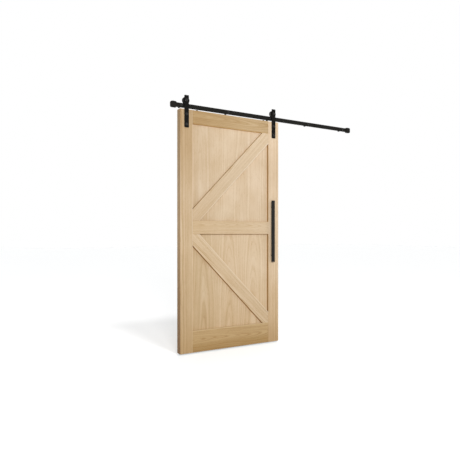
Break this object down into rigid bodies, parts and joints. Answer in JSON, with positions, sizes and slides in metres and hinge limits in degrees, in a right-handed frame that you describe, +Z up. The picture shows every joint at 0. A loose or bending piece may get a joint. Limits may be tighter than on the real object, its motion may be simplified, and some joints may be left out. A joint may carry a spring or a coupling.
{
  "type": "sliding barn door with flat track",
  "caption": "Framed oak door leaf with diagonal K braces, hung by grooved rollers on straps from a flat black wall track with spacers and end stops, with a long bar handle.",
  "frame": {"origin": "on the wall, at the centre of the middle spacer's back face, on the track's centreline", "axes": "+Z up, +X along the track to the right seen from the front, +Y into the wall"},
  "size_m": [2, 0.102, 2.1563],
  "materials": {
    "oak": "clear matt oil",
    "black_steel": "matt black powder coat",
    "black_fixings": "satin black",
    "roller_steel": "satin black, worn bare in the groove"
  },
  "bodies": {
    "track": {"track_rail": "black_steel", "spacer_1": "black_steel", "wall_bolt_1": "black_fixings", "spacer_2": "black_steel", "wall_bolt_2": "black_fixings", "spacer_3": "black_steel", "wall_bolt_3": "black_fixings", "spacer_4": "black_steel", "wall_bolt_4": "black_fixings", "spacer_5": "black_steel", "wall_bolt_5": "black_fixings", "left_end_stop": "black_steel", "right_end_stop": "black_steel"},
    "door": {"left_stile": "oak", "right_stile": "oak", "bottom_rail": "oak", "middle_rail": "oak", "top_rail": "oak", "lower_panel": "oak", "upper_panel": "oak", "lower_brace_front": "oak", "lower_brace_back": "oak", "upper_brace_front": "oak", "upper_brace_back": "oak", "left_strap": "black_steel", "left_axle": "black_fixings", "left_bushing": "black_fixings", "left_axle_nut": "black_fixings", "left_strap_bolts": "black_fixings", "left_strap_nuts": "black_fixings", "left_anti_jump_disc": "black_steel", "right_strap": "black_steel", "right_axle": "black_fixings", "right_bushing": "black_fixings", "right_axle_nut": "black_fixings", "right_strap_bolts": "black_fixings", "right_strap_nuts": "black_fixings", "right_anti_jump_disc": "black_steel", "handle_bar": "black_steel", "handle_upper_post": "black_steel", "handle_lower_post": "black_steel"},
    "left_wheel": {"left_wheel": "roller_steel"},
    "right_wheel": {"right_wheel": "roller_steel"}
  },
  "joints": [
    {"name": "door_slide", "type": "slide", "parent": "track", "child": "door", "axis": [1, 0, 0], "range_m": [-0.06, 0.898]},
    {"name": "left_wheel_spin", "type": "hinge", "parent": "door", "child": "left_wheel", "pos_m": [-0.862, -0.059, 0.0453], "axis": [0, 1, 0], "range_deg": [-135, 1985]},
    {"name": "right_wheel_spin", "type": "hinge", "parent": "door", "child": "right_wheel", "pos_m": [0.024, -0.059, 0.0453], "axis": [0, 1, 0], "range_deg": [-135, 1985]}
  ],
  "couplings": [
    {"joint": "left_wheel_spin", "follows": "door_slide", "rad_per_m": 38.462},
    {"joint": "right_wheel_spin", "follows": "door_slide", "rad_per_m": 38.462}
  ]
}
